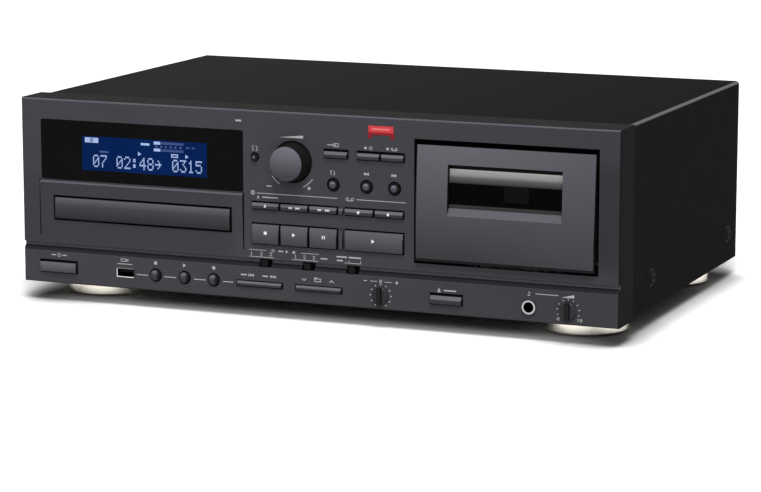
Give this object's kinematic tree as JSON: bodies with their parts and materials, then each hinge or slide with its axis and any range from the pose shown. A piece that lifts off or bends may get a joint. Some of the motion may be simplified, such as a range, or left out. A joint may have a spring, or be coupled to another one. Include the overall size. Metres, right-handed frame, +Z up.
{
  "type": "cd cassette deck",
  "caption": "Full-width hi-fi deck with a sliding disc tray, a lit display, a tilting cassette door, rows of keys, knobs and slide switches, in a sheet steel case on round feet.",
  "frame": {"origin": "middle of the object's box, on the surface that it stands on", "axes": "+X to the right as seen from the front, +Y towards the back, +Z up"},
  "size_m": [0.435, 0.305, 0.142],
  "materials": {
    "fascia": "satin dark grey moulding",
    "door": "satin dark grey moulding",
    "keys": "satin dark grey moulding",
    "knob": "satin grey face, dark gloss side",
    "window": "smoked gloss plastic",
    "display": "blue lit display",
    "lens": "smoked gloss plastic",
    "cover": "fine textured black paint",
    "rear": "black paint",
    "zinc": "zinc plated sheet steel",
    "foot": "silver finished moulding",
    "pad": "black rubber",
    "screw": "black oxide steel",
    "board": "green circuit board",
    "jack": "jack housing with plated sleeves",
    "port": "bright steel shell",
    "chrome": "nickel plated",
    "black_plastic": "black moulding",
    "white_plastic": "white moulding"
  },
  "bodies": {
    "cabinet": {"front_panel": "fascia", "display_window": "window", "lcd_module": "display", "top_cover": "cover", "bottom_chassis": "zinc", "rear_panel": "rear", "feet": "foot", "foot_pads": "pad", "cover_screws": "screw", "front_board": "board", "main_board": "board", "rca_jacks": "jack", "power_inlet": "black_plastic", "usb_port": "port", "mic_jack": "chrome", "loader_frame": "black_plastic", "clamp_bridge": "black_plastic", "deck_plate": "zinc"},
    "tray": {"cd_tray": "black_plastic", "tray_front": "door"},
    "loading_gear": {"loading_gear": "white_plastic"},
    "traverse": {"traverse": "zinc"},
    "turntable": {"turntable": "black_plastic"},
    "laser_pickup": {"laser_pickup": "black_plastic"},
    "cassette_door": {"cassette_door": "door", "door_window": "lens", "cassette_holder": "black_plastic"},
    "reel_spindle_left": {"reel_spindle_left": "black_plastic"},
    "reel_spindle_right": {"reel_spindle_right": "black_plastic"},
    "capstan": {"capstan_flywheel": "zinc"},
    "head_bridge": {"head_bridge": "zinc"},
    "level_knob": {"level_knob": "knob"},
    "pitch_knob": {"pitch_knob": "knob"},
    "mic_level_knob": {"mic_level_knob": "knob"},
    "skip_rocker": {"skip_rocker": "keys"},
    "folder_rocker": {"folder_rocker": "keys"},
    "timer_switch": {"timer_switch": "black_plastic"},
    "monitor_switch": {"monitor_switch": "black_plastic"},
    "speed_switch": {"speed_switch": "black_plastic"},
    "power_button": {"power_button": "keys"},
    "source_button": {"source_button": "keys"},
    "record_left_button": {"record_left_button": "keys"},
    "record_right_button": {"record_right_button": "keys"},
    "open_close_button": {"open_close_button": "keys"},
    "search_back_button": {"search_back_button": "keys"},
    "search_forward_button": {"search_forward_button": "keys"},
    "tape_stop_button": {"tape_stop_button": "keys"},
    "tape_record_button": {"tape_record_button": "keys"},
    "stop_button": {"stop_button": "keys"},
    "play_button": {"play_button": "keys"},
    "pause_button": {"pause_button": "keys"},
    "tape_play_button": {"tape_play_button": "keys"},
    "eject_button": {"eject_button": "keys"},
    "reset_button": {"reset_button": "keys"},
    "repeat_button": {"repeat_button": "keys"},
    "rewind_button": {"rewind_button": "keys"},
    "forward_button": {"forward_button": "keys"},
    "file_stop_button": {"file_stop_button": "keys"},
    "file_play_button": {"file_play_button": "keys"},
    "file_record_button": {"file_record_button": "keys"}
  },
  "joints": [
    {"name": "tray_slide", "type": "slide", "parent": "cabinet", "child": "tray", "axis": [0, -1, 0], "range_m": [0, 0.138]},
    {"name": "loading_gear_spin", "type": "hinge", "parent": "cabinet", "child": "loading_gear", "pos_m": [-0.16915, -0.1183, 0.059], "axis": [0, 0, 1], "continuous": true},
    {"name": "cassette_door_hinge", "type": "hinge", "parent": "cabinet", "child": "cassette_door", "pos_m": [0.13955, -0.137, 0.054], "axis": [1, 0, 0], "range_deg": [0, 22]},
    {"name": "traverse_tilt", "type": "hinge", "parent": "cabinet", "child": "traverse", "pos_m": [-0.1248, 0.0167, 0.054], "axis": [1, 0, 0], "range_deg": [0, 4]},
    {"name": "turntable_spin", "type": "hinge", "parent": "traverse", "child": "turntable", "pos_m": [-0.1248, -0.0698, 0.058], "axis": [0, 0, 1], "continuous": true},
    {"name": "pickup_slide", "type": "slide", "parent": "traverse", "child": "laser_pickup", "axis": [0, 1, 0], "range_m": [0, 0.034]},
    {"name": "head_bridge_slide", "type": "slide", "parent": "cabinet", "child": "head_bridge", "axis": [0, 0, 1], "range_m": [0, 0.009]},
    {"name": "reel_left_spin", "type": "hinge", "parent": "cabinet", "child": "reel_spindle_left", "pos_m": [0.1183, -0.1245, 0.0932], "axis": [0, 1, 0], "continuous": true},
    {"name": "reel_right_spin", "type": "hinge", "parent": "cabinet", "child": "reel_spindle_right", "pos_m": [0.1608, -0.1245, 0.0932], "axis": [0, 1, 0], "continuous": true},
    {"name": "capstan_spin", "type": "hinge", "parent": "cabinet", "child": "capstan", "pos_m": [0.15805, -0.1195, 0.068], "axis": [0, 1, 0], "continuous": true},
    {"name": "level_knob_turn", "type": "hinge", "parent": "cabinet", "child": "level_knob", "pos_m": [-0.0117, -0.1395, 0.1086], "axis": [0, 1, 0], "continuous": true},
    {"name": "pitch_knob_turn", "type": "hinge", "parent": "cabinet", "child": "pitch_knob", "pos_m": [0.05189, -0.1395, 0.0226], "axis": [0, 1, 0], "range_deg": [-140, 140]},
    {"name": "mic_level_knob_turn", "type": "hinge", "parent": "cabinet", "child": "mic_level_knob", "pos_m": [0.1833, -0.1395, 0.0224], "axis": [0, 1, 0], "range_deg": [-140, 140]},
    {"name": "skip_rocker_tilt", "type": "hinge", "parent": "cabinet", "child": "skip_rocker", "pos_m": [-0.03645, -0.1333, 0.0236], "axis": [0, 0, 1], "range_deg": [-3.5, 3.5], "stiffness_Nm_per_rad": 0.3},
    {"name": "folder_rocker_tilt", "type": "hinge", "parent": "cabinet", "child": "folder_rocker", "pos_m": [0.00713, -0.1333, 0.0236], "axis": [0, 0, 1], "range_deg": [-3.5, 3.5], "stiffness_Nm_per_rad": 0.3},
    {"name": "timer_switch_slide", "type": "slide", "parent": "cabinet", "child": "timer_switch", "axis": [1, 0, 0], "range_m": [-0.002, 0.002]},
    {"name": "monitor_switch_slide", "type": "slide", "parent": "cabinet", "child": "monitor_switch", "axis": [1, 0, 0], "range_m": [-0.002, 0.002]},
    {"name": "speed_switch_slide", "type": "slide", "parent": "cabinet", "child": "speed_switch", "axis": [1, 0, 0], "range_m": [-0.002, 0.002]},
    {"name": "power_button_press", "type": "slide", "parent": "cabinet", "child": "power_button", "axis": [0, 1, 0], "range_m": [0, 0.0022], "stiffness_N_per_m": 400},
    {"name": "source_button_press", "type": "slide", "parent": "cabinet", "child": "source_button", "axis": [0, 1, 0], "range_m": [0, 0.0012], "stiffness_N_per_m": 400},
    {"name": "record_left_button_press", "type": "slide", "parent": "cabinet", "child": "record_left_button", "axis": [0, 1, 0], "range_m": [0, 0.0012], "stiffness_N_per_m": 400},
    {"name": "record_right_button_press", "type": "slide", "parent": "cabinet", "child": "record_right_button", "axis": [0, 1, 0], "range_m": [0, 0.0012], "stiffness_N_per_m": 400},
    {"name": "open_close_button_press", "type": "slide", "parent": "cabinet", "child": "open_close_button", "axis": [0, 1, 0], "range_m": [0, 0.0012], "stiffness_N_per_m": 400},
    {"name": "search_back_button_press", "type": "slide", "parent": "cabinet", "child": "search_back_button", "axis": [0, 1, 0], "range_m": [0, 0.0012], "stiffness_N_per_m": 400},
    {"name": "search_forward_button_press", "type": "slide", "parent": "cabinet", "child": "search_forward_button", "axis": [0, 1, 0], "range_m": [0, 0.0012], "stiffness_N_per_m": 400},
    {"name": "tape_stop_button_press", "type": "slide", "parent": "cabinet", "child": "tape_stop_button", "axis": [0, 1, 0], "range_m": [0, 0.0012], "stiffness_N_per_m": 400},
    {"name": "tape_record_button_press", "type": "slide", "parent": "cabinet", "child": "tape_record_button", "axis": [0, 1, 0], "range_m": [0, 0.0012], "stiffness_N_per_m": 400},
    {"name": "stop_button_press", "type": "slide", "parent": "cabinet", "child": "stop_button", "axis": [0, 1, 0], "range_m": [0, 0.0012], "stiffness_N_per_m": 400},
    {"name": "play_button_press", "type": "slide", "parent": "cabinet", "child": "play_button", "axis": [0, 1, 0], "range_m": [0, 0.0012], "stiffness_N_per_m": 400},
    {"name": "pause_button_press", "type": "slide", "parent": "cabinet", "child": "pause_button", "axis": [0, 1, 0], "range_m": [0, 0.0012], "stiffness_N_per_m": 400},
    {"name": "tape_play_button_press", "type": "slide", "parent": "cabinet", "child": "tape_play_button", "axis": [0, 1, 0], "range_m": [0, 0.0012], "stiffness_N_per_m": 400},
    {"name": "eject_button_press", "type": "slide", "parent": "cabinet", "child": "eject_button", "axis": [0, 1, 0], "range_m": [0, 0.0012], "stiffness_N_per_m": 400},
    {"name": "reset_button_press", "type": "slide", "parent": "cabinet", "child": "reset_button", "axis": [0, 1, 0], "range_m": [0, 0.0012], "stiffness_N_per_m": 400},
    {"name": "repeat_button_press", "type": "slide", "parent": "cabinet", "child": "repeat_button", "axis": [0, 1, 0], "range_m": [0, 0.0012], "stiffness_N_per_m": 400},
    {"name": "rewind_button_press", "type": "slide", "parent": "cabinet", "child": "rewind_button", "axis": [0, 1, 0], "range_m": [0, 0.0012], "stiffness_N_per_m": 400},
    {"name": "forward_button_press", "type": "slide", "parent": "cabinet", "child": "forward_button", "axis": [0, 1, 0], "range_m": [0, 0.0012], "stiffness_N_per_m": 400},
    {"name": "file_stop_button_press", "type": "slide", "parent": "cabinet", "child": "file_stop_button", "axis": [0, 1, 0], "range_m": [0, 0.0012], "stiffness_N_per_m": 400},
    {"name": "file_play_button_press", "type": "slide", "parent": "cabinet", "child": "file_play_button", "axis": [0, 1, 0], "range_m": [0, 0.0012], "stiffness_N_per_m": 400},
    {"name": "file_record_button_press", "type": "slide", "parent": "cabinet", "child": "file_record_button", "axis": [0, 1, 0], "range_m": [0, 0.0012], "stiffness_N_per_m": 400}
  ],
  "couplings": [
    {"joint": "loading_gear_spin", "follows": "tray_slide", "rad_per_m": 95.238}
  ]
}
